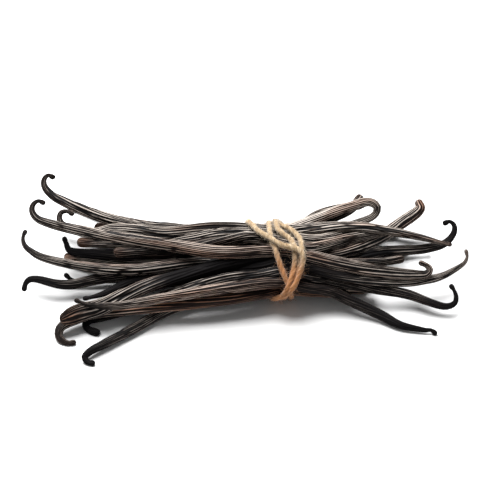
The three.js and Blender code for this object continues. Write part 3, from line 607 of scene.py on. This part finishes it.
def make_pod(one, line, number, strip, strips, around):
    """The skin of one pod: an oval, twisted, wrinkled tube, and what its colours need."""
    rng = np.random.default_rng(POD_SEED + number)
    fine = catmull(line, 8)
    length = distances(fine)[-1]
    full = one["width"] / 2
    left_end, right_end = one["left"]["end"], one["right"]["end"]
    tips = [radius_from(end, SKIN, np.zeros(1), full)[0] for end in (left_end, right_end)]
    at, share = ring_places(length, CAP_LENGTH * tips[0], CAP_LENGTH * tips[1])
    inside = np.clip(at, 0, length)
    centre = read_line(fine, inside)
    ahead = read_line(fine, np.clip(inside + 0.6, 0, length))
    along = unit(ahead - read_line(fine, np.clip(inside - 0.6, 0, length)))
    centre += along * (at - inside)[:, None]
    right = 1 / (1 + np.exp(-(inside - length / 2) / 6))
    from_left = radius_from(left_end, SKIN, inside, full)
    from_right = radius_from(right_end, SKIN, length - inside, full)
    radius = (from_left * (1 - right) + from_right * right) * share

    side = unit(np.cross(OUT, along))
    over = np.cross(along, side)
    angle = np.arange(around) * TAU / around
    turn = 0.5 * math.sin(number * 2.4) + ((number % 5) - 2) * 0.3 * at / length + 0.3 * sway(rng, 28, at)
    flat = np.clip(FLAT + 0.06 * sway(rng, 20, at), 0.6, 0.95)
    if left_end == "paddle":
        paddle = np.exp(-np.maximum(inside - 9, 0) / 20)
        flat = flat * (1 - paddle) + 0.5 * paddle
        turn = turn * (1 - paddle) + 0.3 * paddle

    size = (radius / 2.9)[:, None] * np.clip(share, 0.3, 1)[:, None]
    height, sheen_and_crease_shade = relief(rng, number, angle, at, size)
    wide = WIDE * radius
    thick = wide * flat
    cos, sin = np.cos(angle)[None], np.sin(angle)[None]
    normal = unit(np.stack([cos * flat[:, None], sin * np.ones((len(at), 1))], axis=2))
    x = boxy(cos) * wide[:, None] + normal[:, :, 0] * height
    y = boxy(sin) * thick[:, None] + normal[:, :, 1] * height
    verts = place_rings(centre, x, y, turn[:, None], side, over)
    tips = np.stack([verts[0].mean(axis=0), verts[-1].mean(axis=0)])
    tips += np.stack([-along[0], along[-1]]) * 0.02
    verts = np.vstack([verts.reshape(-1, 3), tips])
    verts[:, 2] = np.maximum(verts[:, 2], 0)

    brown, tone_light_and_shade = shades(rng, one, angle, at, length, centre, along, right)
    grain = with_distance(radius[:, None, None] * np.stack([cos, sin], axis=2), at).reshape(-1, 3)
    grain = np.vstack([grain, [[0, 0, at[0]], [0, 0, at[-1]]]]) + [0, 0, GRAIN_APART * number]
    values = {
        "sheen_and_crease_shade": np.concatenate([sheen_and_crease_shade.ravel(), [0.4, 0.4]]),
        "brown": np.concatenate([np.clip(brown, 0, 1).ravel(), brown[0, :1], brown[-1, :1]]),
        "tone_light_and_shade": np.concatenate([np.repeat(tone_light_and_shade, around), tone_light_and_shade[[0, -1]]]),
        "grain": grain,
    }

    quads, places = ring_faces(len(at), around)
    u = 0.01 + 0.98 * (at - at[0] + 0.5) / (at[-1] - at[0] + 1)
    low, high = (strip + 0.03) / strips, (strip + 0.97) / strips
    uv = np.stack([u[places[..., 0]], low + (high - low) * places[..., 1] / around], axis=2)
    faces = [(quads, uv)] + end_fans(len(at), around, u, low, high)
    return {"verts": verts, "faces": faces, "values": values}


# ---- the core ----
def section_at(x):
    """Where each pod crosses a section of the bundle near the tie: y, z and radius."""
    found = []
    for points, radii in zip(settled, settled_radii):
        i = min(int(np.argmax(points[1:, 0] >= x)) + 1, len(points) - 2)
        t = (x - points[i - 1, 0]) / (points[i, 0] - points[i - 1, 0])
        y, z = (points[i - 1] * (1 - t) + points[i] * t)[1:]
        found.append([y, z, radii[i]])
    return np.array(found).T


def make_core():
    """An oval bar through the middle of the bundle, narrower than the bundle is."""
    xs = np.linspace(*CORE_SPAN, CORE_SECTIONS)
    middle = sum(CORE_SPAN) / 2
    sections = [section_at(x) for x in xs]
    centre = np.array([[x, s[0].mean(), s[1].mean()] for x, s in zip(xs, sections)])
    spread = np.array([s[0].std() for s in sections]) * 1.1 * (1 - ((xs - middle) / CORE_TAPER) ** 2)
    angle = np.arange(CORE_AROUND) * TAU / CORE_AROUND
    along = tangents(centre)
    side = unit(np.cross(OUT, along))
    over = np.cross(along, side)
    lean = -SLOPE - 0.1  # lays the oval nearly flat, a little lower at the back
    x = np.cos(angle)[None] * spread[:, None]
    y = np.sin(angle)[None] * spread[:, None] * 0.5
    verts = place_rings(centre, x, y, lean, side, over)
    rings = len(xs)
    quads, places = ring_faces(rings, CORE_AROUND)
    uv = 0.02 + 0.96 * places / [rings - 1, CORE_AROUND]
    faces = [(quads, uv)] + end_fans(rings, CORE_AROUND, np.linspace(0.02, 0.98, rings), 0.02, 0.98)
    verts = np.vstack([verts.reshape(-1, 3), centre[0] - along[0], centre[-1] + along[-1]])
    count = len(verts)
    # the core is made fully black: painted shade for the inside of the bundle seen between the pods
    values = {"sheen_and_crease_shade": np.zeros(count), "brown": np.zeros(count), "grain": verts, "tone_light_and_shade": np.ones(count)}
    return {"verts": verts, "faces": faces, "values": values}


# ---- the twine ----
def round_pods(x, angle, off):
    """Points on the line the twine takes round the pods at one section, for outward angles from +Y towards
    +Z, standing off the pods by the given distance."""
    y, z, r = section_at(x)
    angle = np.atleast_1d(np.asarray(angle, float))

    def reach(a):
        return np.max(y * np.cos(a)[:, None] + z * np.sin(a)[:, None] + r, axis=1)
    h = reach(angle) + off
    slope = (reach(angle + 0.01) - reach(angle - 0.01)) / 0.02
    return np.stack([
        np.full(len(angle), float(x)),
        h * np.cos(angle) - slope * np.sin(angle),
        h * np.sin(angle) + slope * np.cos(angle),
    ], axis=1)


def on_front(share, across, off):
    """A point of a wrap on the front: a share of the way down from the top edge, and its place across."""
    line = round_pods(across + FACE_ZERO[0], np.radians(np.arange(FRONT_TOP, FRONT_FOOT + 1, 4)), off)
    heights = line @ UP
    target = heights[0] + (heights[-1] - heights[0]) * share
    i = 1
    while i < len(line) - 1 and heights[i] > target:
        i += 1
    t = np.clip((heights[i - 1] - target) / max(heights[i - 1] - heights[i], 1e-6), 0, 1)
    return line[i - 1] * (1 - t) + line[i] * t


# The four wraps down the front as [share of the way down, across, how many strands it lies over].
# Each goes on round the underside and the back to the start of the next.
WRAPS = [
    [[0, -1, 0], [0.12, 4, 0.2], [0.21, 8.3, 1], [0.34, 16.6, 1], [0.4, 24.9, 1], [0.47, 27, 1.1],
     [0.55, 26.6, 1.1], [0.67, 25.3, 1], [0.86, 20.8, 1.3], [0.95, 16.5, 0.8], [1, 11, 0]],
    [[0, 9.5, 0], [0.21, 10.4, 0], [0.34, 12.5, 0], [0.6, 15.4, 0], [0.8, 18.3, 0], [0.91, 20, 0],
     [1, 20.5, 0]],
    [[0, 13, 0.2], [0.15, 14.5, 0.3], [0.19, 18.7, 0], [0.3, 21.6, 0], [0.42, 22.8, 0], [0.65, 22, 0],
     [0.78, 19.9, 0.8], [0.93, 17, 0.9], [1, 14.5, 0]],
    [[0, 12.5, 0], [0.06, 16.6, 0], [0.12, 20.8, 0], [0.21, 23.9, 0], [0.32, 25.9, 0], [0.45, 26, 0],
     [0.67, 24.6, 0], [0.86, 19, 0.4], [1, 17, 0]],
]


def twine_path():
    """The closed line of the twine: down the front in each wrap, then under and up the back to the next."""
    def off(over):
        return TWINE_R - SINK + over * CROSSING
    path = []
    for k, wrap in enumerate(WRAPS):
        rows = np.array(wrap)
        start = WRAPS[(k + 1) % len(WRAPS)][0]
        for share in np.arange(0, 1.001, 0.03):
            across = np.interp(share, rows[:, 0], rows[:, 1])
            over = np.interp(share, rows[:, 0], rows[:, 2])
            path.append(on_front(share, across, off(over)))
        crosses = 1 if k == len(WRAPS) - 1 else 0  # the last run lies over the others at the back
        for degrees in range(FRONT_FOOT + 7, FRONT_FOOT + 177, 6):
            t = (degrees - FRONT_FOOT) / 180
            eased = t * t * (3 - 2 * t)
            across = rows[-1, 1] + (start[1] - rows[-1, 1]) * eased
            over = rows[-1, 2] + (start[2] - rows[-1, 2]) * eased + crosses * math.sin(math.pi * eased)
            path.append(round_pods(across + FACE_ZERO[0], math.radians(degrees), off(over))[0])
    even = resample(np.vstack([path, path[:1]]), TWINE_STEP)[:-1]
    return 0.6 * even + 0.2 * np.roll(even, 1, axis=0) + 0.2 * np.roll(even, -1, axis=0)


def outward(line, along):
    """Directions square to a line that point away from the middle of the bundle."""
    middle = np.array([[x, *section_at(x)[:2].mean(axis=1)] for x in line[:, 0]])
    return square_to(line - middle, along)


def painted_low_shade(verts):
    """How far each vertex is into the painted shade of the wraps, low and to the left, from 0 to 1."""
    return np.clip((28 - 0.4 * verts[..., 0] - verts @ UP) / 11, 0, 1)


def wind_plies(line, normal, closed, rng, rows, first_row):
    """Three plies twisted round a line, each a tube with fibres in relief. normal points away from the line.
    Each ply takes the given number of rows of the texture, from the first row on."""
    along = tangents(line, closed)
    normal = square_to(normal, along)
    side = np.cross(along, normal)
    at = distances(line)
    length = at[-1] + (np.linalg.norm(line[0] - line[-1]) if closed else 0)
    turns = round(length / LAY)
    rings = len(line)
    psi = np.arange(PLY_AROUND) * TAU / PLY_AROUND
    parts = []
    for ply in range(PLIES):
        phase = TAU * (turns * at / length + ply / PLIES)
        out = np.cos(phase)[:, None] * normal + np.sin(phase)[:, None] * side
        fade = np.ones(rings)
        if not closed:
            fade = np.sqrt(np.clip(np.minimum(at, length - at) / (0.8 * PLY_R), 0.02, 1))
        swell = 1 + 0.1 * sway(rng, 5, at)
        centre = line + out * (PLY_OFF * swell)[:, None]
        way = tangents(centre, closed)
        a = square_to(out, way)
        b = np.cross(way, a)
        twisted = psi[None] - 0.9 * at[:, None]
        bumps = np.zeros((rings, PLY_AROUND))
        for k in (2, 3, 5, 7):
            bumps += 0.045 * np.cos(k * twisted + rng.uniform(0, TAU) + rng.normal(0, 0.5) * at[:, None])
        radius = PLY_R * swell[:, None] * (1 + bumps) * fade[:, None]
        verts = place_rings(centre, radius * np.cos(psi), radius * np.sin(psi), 0, a, b)
        quads, places = ring_faces(rings, PLY_AROUND, closed=closed)
        per_row = math.ceil(rings / rows)
        base = places[:, :1, 0]
        u = 0.01 + 0.98 * (places[..., 0] - base // per_row * per_row) / per_row
        row = first_row + ply * rows + base // per_row
        v = (row + 0.08 + 0.84 * places[..., 1] / PLY_AROUND) / ALL_ROWS
        faces = [(quads, np.stack([u, v], axis=2))]
        verts = verts.reshape(-1, 3)
        if not closed:
            spots = 0.01 + 0.98 * (np.arange(rings) % per_row) / per_row
            low = (first_row + ply * rows + (rings - 1) // per_row + 0.08) / ALL_ROWS
            faces += end_fans(rings, PLY_AROUND, spots, low, low + 0.84 / ALL_ROWS)
            verts = np.vstack([verts, centre[0], centre[-1]])
        verts[:, 2] = np.maximum(verts[:, 2], 0)
        fibre = with_distance(np.stack([np.cos(twisted), np.sin(twisted)], axis=2) * PLY_R, at)
        fibre = fibre.reshape(-1, 3) + [9 * ply, 0, 0]
        fibre = np.vstack([fibre, np.zeros((len(verts) - len(fibre), 3))])
        values = {"fibre": fibre, "loose": np.zeros(len(verts)), "low": painted_low_shade(verts)}
        parts.append({"verts": verts, "faces": faces, "values": values})
    return parts


def knot_line():
    """The knot at the back: an overhand knot in one line, with its two short ends hanging from it."""
    middle = round_pods(TIE_X - 4, math.radians(-25), 2 * TWINE_R)[0]
    t = np.linspace(0.35, TAU - 0.35, 60)
    across = (np.sin(t) + 2 * np.sin(2 * t)) * 1.05
    up = (np.cos(t) - 2 * np.cos(2 * t)) * 0.95
    out = -np.sin(3 * t) * 1.2
    loop = middle + np.stack([across, out + 0.4, up], axis=1)
    ends = []
    for way, near in ((1, loop[0]), (-1, loop[-1])):
        via = [[2.2 * way, 1, -0.8], [5 * way, 1.6, -3.2], [7.5 * way, 2.2, -7.5]]
        ends.append(np.array([near + v for v in via]))
    points = np.vstack([ends[0][::-1], loop[::3], ends[1]])
    return resample(catmull(points, 8), TWINE_RING)


def make_fuzz(line, normal, rng, count):
    """Loose fibres: thin bent hairs that start on the twine and stand a little off it."""
    along = tangents(line)
    side = np.cross(along, normal)
    i = rng.integers(2, len(line) - 2, count)
    phase = rng.uniform(0, TAU, count)
    out = np.cos(phase)[:, None] * normal[i] + np.sin(phase)[:, None] * side[i]
    start = line[i] + out * rng.uniform(0.75, 1.0, count)[:, None] * TWINE_R
    way = along[i] * rng.choice([-1, 1], count)[:, None]
    around = np.cross(along[i], out)
    length = rng.gamma(3, 0.5, count)[:, None] + 0.7
    lift = rng.uniform(0.0, 0.42, count)[:, None] ** 1.5
    first = unit(way + 0.3 * out + rng.normal(0, 0.25, (count, 3)))
    then = unit(way * 0.8 + out * lift * 2.2 + around * rng.normal(0, 0.5, (count, 1)))
    t = np.linspace(0, 1, FUZZ_RINGS)[None, :, None]
    bend = rng.normal(0, 0.35, (count, 1, 3)) * (t * t * length[:, None])
    curve = t * (1 - 0.6 * t) * first[:, None] + 0.6 * t * t * then[:, None]
    path = start[:, None] + length[:, None] * curve + bend
    way = unit(np.gradient(path, axis=1))
    a = unit(np.cross(way, rng.normal(0, 1, (count, 1, 3))))
    b = np.cross(way, a)
    thin = rng.uniform(0.045, 0.075, count)[:, None, None] * (1 - 0.6 * t)
    rings = []
    for k in range(FIBRE_SIDES):
        turn = TAU * k / FIBRE_SIDES
        rings.append(path + thin * (math.cos(turn) * a + math.sin(turn) * b))
    verts = np.stack(rings, axis=2)
    verts[..., 2] = np.maximum(verts[..., 2], 0.02)
    each = FUZZ_RINGS * FIBRE_SIDES
    quads, places = ring_faces(FUZZ_RINGS, FIBRE_SIDES)
    cells = math.ceil(math.sqrt(count))
    cell = np.arange(count)
    corner = np.stack([cell % cells, cell // cells], axis=1)[:, None, None]
    local = 0.1 + 0.8 * places / [FUZZ_RINGS - 1, FIBRE_SIDES]
    last = each - FIBRE_SIDES
    caps = np.array([[2, 1, 0], [last, last + 1, last + 2]])
    cap_local = np.array([[[0.05, 0.1], [0.09, 0.1], [0.07, 0.4]], [[0.91, 0.1], [0.95, 0.1], [0.93, 0.4]]])
    faces = []
    for corners, spots in ((quads, local), (caps, cap_local)):
        sides = corners.shape[1]
        faces.append(((corners[None] + each * cell[:, None, None]).reshape(-1, sides),
                      ((spots[None] + corner) / cells).reshape(-1, sides, 2)))
    flat = verts.reshape(-1, 3)
    own = rng.uniform(0, 50, count).repeat(each)
    fibre = np.stack([own, flat[:, 1], np.tile(np.arange(each), count) * 0.1], axis=1)
    values = {"fibre": fibre, "loose": np.ones(len(flat)), "low": painted_low_shade(flat)}
    return {"verts": flat, "faces": faces, "values": values}


# ---- materials ----
def new_material(name):
    """An empty node material, its node tree and its shader."""
    material = bpy.data.materials.new(name)
    material.use_nodes = True
    tree = material.node_tree
    return material, tree, tree.nodes["Principled BSDF"]


def add(tree, kind, **settings):
    """A node with its properties and input values set by name."""
    node = tree.nodes.new(kind)
    for key, value in settings.items():
        if hasattr(node, key):
            setattr(node, key, value)
        else:
            node.inputs[key.replace("_", " ")].default_value = value
    return node


def math_node(tree, operation, a, b):
    """A math node on two sockets or numbers; gives its output socket."""
    node = tree.nodes.new("ShaderNodeMath")
    node.operation = operation
    for socket, value in zip(node.inputs, (a, b)):
        if isinstance(value, (int, float)):
            socket.default_value = value
        else:
            tree.links.new(value, socket)
    return node.outputs[0]


def weighted_sum(tree, *terms):
    """The sum of terms, each a number or a (socket, weight); gives its output socket."""
    total = None
    for term in terms:
        value = math_node(tree, "MULTIPLY", *term) if isinstance(term, tuple) else term
        total = value if total is None else math_node(tree, "ADD", total, value)
    return total


def ramp(tree, factor, stops):
    """A colour ramp through (place, colour) stops; gives its colour socket."""
    node = tree.nodes.new("ShaderNodeValToRGB")
    elements = node.color_ramp.elements
    elements[0].position, elements[0].color = stops[0][0], (*stops[0][1], 1)
    elements[1].position, elements[1].color = stops[-1][0], (*stops[-1][1], 1)
    for spot, colour in stops[1:-1]:
        elements.new(spot).color = (*colour, 1)
    tree.links.new(factor, node.inputs[0])
    return node.outputs[0]


def mix_colours(tree, factor, weight, a, b):
    """A mix of two colour sockets or colours by a factor socket times a weight; gives its colour socket."""
    node = tree.nodes.new("ShaderNodeMix")
    node.data_type = "RGBA"
    tree.links.new(math_node(tree, "MULTIPLY", factor, weight), node.inputs[0])
    for socket, value in ((node.inputs[6], a), (node.inputs[7], b)):
        if isinstance(value, tuple):
            socket.default_value = (*value, 1)
        else:
            tree.links.new(value, socket)
    return node.outputs[2]


def stretched_noise(tree, source, scale, detail, roughness=0.55):
    """Noise over a vector socket, scaled on each axis; gives its value socket."""
    mapping = add(tree, "ShaderNodeMapping", vector_type="POINT", Scale=scale)
    tree.links.new(source, mapping.inputs["Vector"])
    noise = add(tree, "ShaderNodeTexNoise", Scale=1.0, Detail=detail, Roughness=roughness)
    tree.links.new(mapping.outputs[0], noise.inputs["Vector"])
    return noise.outputs[0]


def mesh_value(tree, name, output="Fac"):
    """The socket of a named value of the mesh."""
    return add(tree, "ShaderNodeAttribute", attribute_name=name).outputs[output]


def dress(tree, shader, colour, height, strength, depth, **inputs):
    """Gives a shader its colour, a bump from a height socket and its other inputs by name."""
    tree.links.new(colour, shader.inputs["Base Color"])
    bump = add(tree, "ShaderNodeBump", Strength=strength, Distance=depth)
    tree.links.new(height, bump.inputs["Height"])
    tree.links.new(bump.outputs[0], shader.inputs["Normal"])
    for key, value in inputs.items():
        shader.inputs[key.replace("_", " ")].default_value = value


def pod_skin():
    """Near-black oily skin with fine lengthwise hairlines and reddish ends; the ridges are painted paler as
    sheen, the creases painted blacker as shade.
    """
    material, tree, shader = new_material("pod_skin")
    sheen_and_crease_shade, brown, tone_light_and_shade = (mesh_value(tree, name) for name in ("sheen_and_crease_shade", "brown", "tone_light_and_shade"))
    grain = mesh_value(tree, "grain", "Vector")
    hairs = stretched_noise(tree, grain, (1.3, 1.3, 0.09), 4, 0.6)
    mottle = stretched_noise(tree, grain, (0.3, 0.3, 0.08), 2)
    level = weighted_sum(tree, (hairs, 1.15), (mottle, 0.2), (sheen_and_crease_shade, 1), -0.68, (tone_light_and_shade, -0.25))
    # The pale upper stops are painted sheen on the ridges and hairlines.
    skin = ramp(tree, level, [
        (0.2, (0.002, 0.0017, 0.002)),
        (0.4, (0.008, 0.0063, 0.006)),
        (0.56, (0.082, 0.06, 0.047)),
        (0.8, (0.55, 0.485, 0.43)),
    ])
    warm = ramp(tree, level, [
        (0.15, (0.007, 0.0028, 0.0018)),
        (0.45, (0.045, 0.019, 0.011)),
        (0.9, (0.38, 0.2, 0.125)),
    ])
    colour = mix_colours(tree, brown, 1, skin, warm)
    # blacker by the darkness value: partly the pods' own tone, partly painted shade, and painted light below
    # zero
    colour = mix_colours(tree, tone_light_and_shade, 0.75, colour, (0.005, 0.0042, 0.0045))
    tree.links.new(weighted_sum(tree, 0.5, (sheen_and_crease_shade, -0.12), (tone_light_and_shade, 0.32)), shader.inputs["Roughness"])
    dress(tree, shader, colour, hairs, 0.7, 0.00018,
          Specular_IOR_Level=0.1, Coat_Weight=0.02, Coat_Roughness=0.35)
    return material


def jute():
    """Pale tan twisted fibres, darker between them, with lighter loose hairs and a painted orange shade low
    on the front of the wraps.
    """
    material, tree, shader = new_material("jute")
    loose, low = (mesh_value(tree, name) for name in ("loose", "low"))
    fibre = mesh_value(tree, "fibre", "Vector")
    streaks = stretched_noise(tree, fibre, (3.2, 3.2, 0.5), 4, 0.6)
    patches = stretched_noise(tree, fibre, (0.4, 0.4, 0.15), 2)
    level = weighted_sum(tree, (streaks, 1.3), (patches, 0.5), -0.4)
    colour = ramp(tree, level, [
        (0.2, (0.17, 0.09, 0.037)),
        (0.4, (0.27, 0.18, 0.098)),
        (0.6, (0.45, 0.335, 0.205)),
        (0.85, (0.68, 0.575, 0.43)),
    ])
    colour = mix_colours(tree, loose, 0.55, colour, (0.5, 0.43, 0.33))
    # painted shade: more orange and darker low on the front of the wraps
    colour = mix_colours(tree, low, 0.82, colour, (0.29, 0.108, 0.029))
    dress(tree, shader, colour, streaks, 0.6, 0.00015,
          Roughness=0.9, Specular_IOR_Level=0.15, Sheen_Weight=0.3)
    return material


# ---- camera, light and floor ----
FRAME_WIDTH = 250  # width of the view at the bundle, in millimetres
VIEW_TARGET = (2.5, 13.075, 13.075)  # the point looked at, straight out of the face from its zero
LENS = 900
SENSOR = 36
FLOOR_SIZE = 12  # half the floor's width, in metres
FLOOR_LEVEL = -0.00005  # just under the table top on which the bundle lies
KEY_PLACE = (-0.2, 0.4, 0.87)  # in metres: high, behind the bundle and to the left
KEY_SIZE = 0.8
KEY_POWER = 29
SURROUND = 0.28  # strength of the white surround


def make_camera():
    """Looks down on the bundle at 45 degrees from the front, from far away."""
    data = bpy.data.cameras.new("camera")
    data.lens = LENS
    data.sensor_width = SENSOR
    distance = FRAME_WIDTH * LENS / SENSOR
    camera = new_object("camera", data)
    x, y, z = VIEW_TARGET
    camera.location = (x * MM, (y - distance * math.cos(SLOPE)) * MM, (z + distance * math.sin(SLOPE)) * MM)
    camera.rotation_euler = (math.pi / 2 - SLOPE, 0, 0)
    data.clip_start = 0.05
    data.clip_end = 60
    bpy.context.scene.camera = camera


def make_key_light():
    """One soft square light, turned towards the bundle."""
    data = bpy.data.lights.new("key", "AREA")
    data.shape = "RECTANGLE"
    data.size = data.size_y = KEY_SIZE
    data.energy = KEY_POWER
    light = new_object("key", data)
    light.location = KEY_PLACE
    light.rotation_euler = (-Vector(KEY_PLACE)).to_track_quat("-Z", "Y").to_euler()
    light.visible_camera = False


def make_stage():
    """A plain grey floor under a white surround."""
    mesh = bpy.data.meshes.new("floor")
    corners = [(-1, -1), (1, -1), (1, 1), (-1, 1)]
    mesh.from_pydata([(x * FLOOR_SIZE, y * FLOOR_SIZE, FLOOR_LEVEL) for x, y in corners], [], [(0, 1, 2, 3)])
    material, _, shader = new_material("floor")
    shader.inputs["Base Color"].default_value = (0.78, 0.78, 0.78, 1)
    shader.inputs["Roughness"].default_value = 0.7
    mesh.materials.append(material)
    floor = new_object("floor", mesh)
    world = bpy.data.worlds.new("surround")
    world.use_nodes = True
    back = world.node_tree.nodes["Background"]
    back.inputs["Color"].default_value = (1, 1, 1, 1)
    back.inputs["Strength"].default_value = SURROUND
    bpy.context.scene.world = world
    bpy.context.scene.view_settings.view_transform = "Standard"


# ---- the scene ----
make_camera()
make_stage()
make_key_light()

skin = pod_skin()
number = 0
for name, group in GROUPS.items():
    around = AROUND_INSIDE if name in ("pods_inner", "pods_under") else AROUND
    parts = []
    for strip, one in enumerate(group):
        parts.append(make_pod(one, settled[number], number, strip, len(group), around))
        number += 1
    make_piece(name, parts, skin, "pods")
make_piece("core", [make_core()], skin, "pods")

string = jute()
rng = np.random.default_rng(TWINE_SEED)
strand = resample(catmull(twine_path(), 8, closed=True), TWINE_RING)
knot = knot_line()
up_strand = outward(strand, tangents(strand, closed=True))
up_knot = square_to(np.broadcast_to([0.0, 0.3, 1.0], knot.shape), tangents(knot))
plies = wind_plies(strand, up_strand, True, rng, WRAP_ROWS, 0)
plies += wind_plies(knot, up_knot, False, rng, KNOT_ROWS, PLIES * WRAP_ROWS)
make_piece("twine_strands", plies, string, "twine")
make_piece("twine_fuzz", [make_fuzz(strand, up_strand, rng, FUZZ)], string, "twine")
make_piece("knot_fuzz", [make_fuzz(knot, up_knot, rng, KNOT_FUZZ)], string, "twine")
